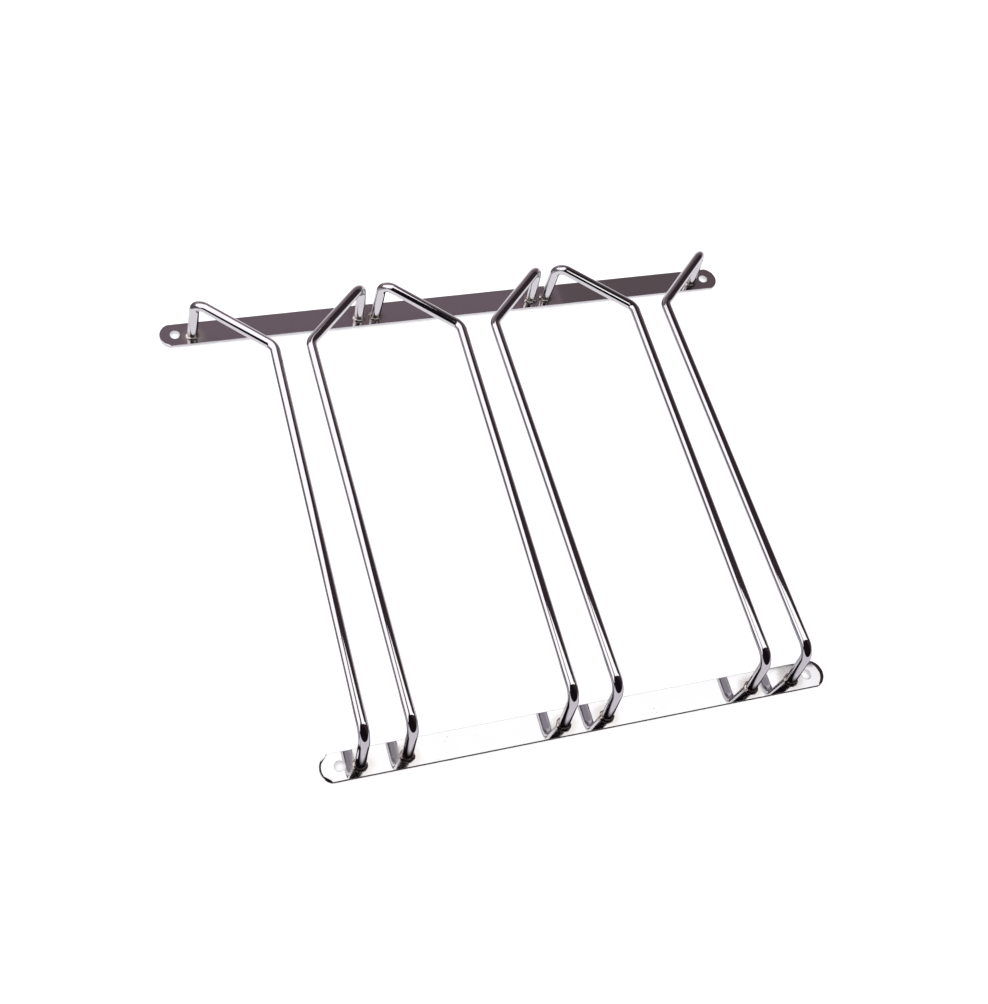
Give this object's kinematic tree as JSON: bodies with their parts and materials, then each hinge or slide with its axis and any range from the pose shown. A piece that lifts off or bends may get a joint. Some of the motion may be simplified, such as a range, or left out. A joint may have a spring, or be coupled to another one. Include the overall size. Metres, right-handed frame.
{
  "type": "hanging stemware rack",
  "caption": "Under-shelf rack for stemmed glasses: bent round wires welded in pairs to two flat screw-on strips, so feet slide in above and stems hang between.",
  "frame": {"origin": "middle of the box round the rack, on the shelf face of the two strips", "axes": "+X along the strips, +Y along the wires towards the entry end, +Z away from the shelf (up as the rack lies on a table, down when it hangs)"},
  "size_m": [0.325, 0.266, 0.0322],
  "materials": {
    "strip_plating": "bright chrome plating on flat strip",
    "wire_plating": "bright chrome plating on drawn round wire",
    "weld_plating": "chrome plating over weld metal, slightly uneven"
  },
  "bodies": {
    "root": {"strip_entry": "strip_plating", "strip_stop": "strip_plating", "rail_1_left": "wire_plating", "rail_1_right": "wire_plating", "rail_2_left": "wire_plating", "rail_2_right": "wire_plating", "rail_3_left": "wire_plating", "rail_3_right": "wire_plating", "weld_entry_1_left": "weld_plating", "weld_stop_1_left": "weld_plating", "weld_entry_1_right": "weld_plating", "weld_stop_1_right": "weld_plating", "weld_entry_2_left": "weld_plating", "weld_stop_2_left": "weld_plating", "weld_entry_2_right": "weld_plating", "weld_stop_2_right": "weld_plating", "weld_entry_3_left": "weld_plating", "weld_stop_3_left": "weld_plating", "weld_entry_3_right": "weld_plating", "weld_stop_3_right": "weld_plating"}
  },
  "joints": []
}
